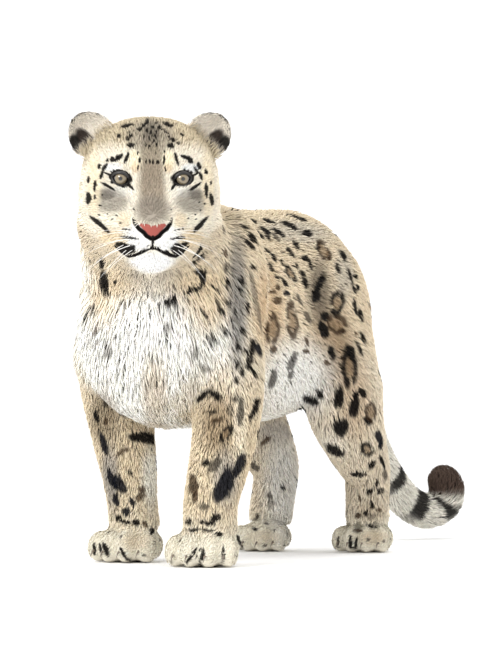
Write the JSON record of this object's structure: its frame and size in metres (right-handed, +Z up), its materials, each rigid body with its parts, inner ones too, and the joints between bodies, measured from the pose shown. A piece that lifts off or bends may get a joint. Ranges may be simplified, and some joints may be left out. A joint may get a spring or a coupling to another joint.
{
  "type": "snow leopard",
  "caption": "Life-size still model of a snow leopard in winter coat, standing, head turned to its left, long thick tail curled at the tip.",
  "frame": {"origin": "on the floor, under the middle of the animal's bounding box", "axes": "+Z up, the animal faces -Y, its own left side is +X"},
  "size_m": [0.3505, 1.4939, 0.7417],
  "materials": {
    "fur": "soft dense winter coat, cream and white with dark rosettes",
    "eye": "polished"
  },
  "bodies": {
    "root": {"head": "fur", "ear_left": "fur", "ear_right": "fur", "eye_left": "eye", "eye_right": "eye", "neck": "fur", "chest": "fur", "abdomen": "fur", "foreleg_left": "fur", "foreleg_right": "fur", "forepaw_left": "fur", "forepaw_right": "fur", "thigh_left": "fur", "thigh_right": "fur", "shank_left": "fur", "shank_right": "fur", "hindpaw_left": "fur", "hindpaw_right": "fur", "tail_root": "fur", "tail_middle": "fur", "tail_bend": "fur", "tail_tip": "fur"}
  },
  "joints": []
}
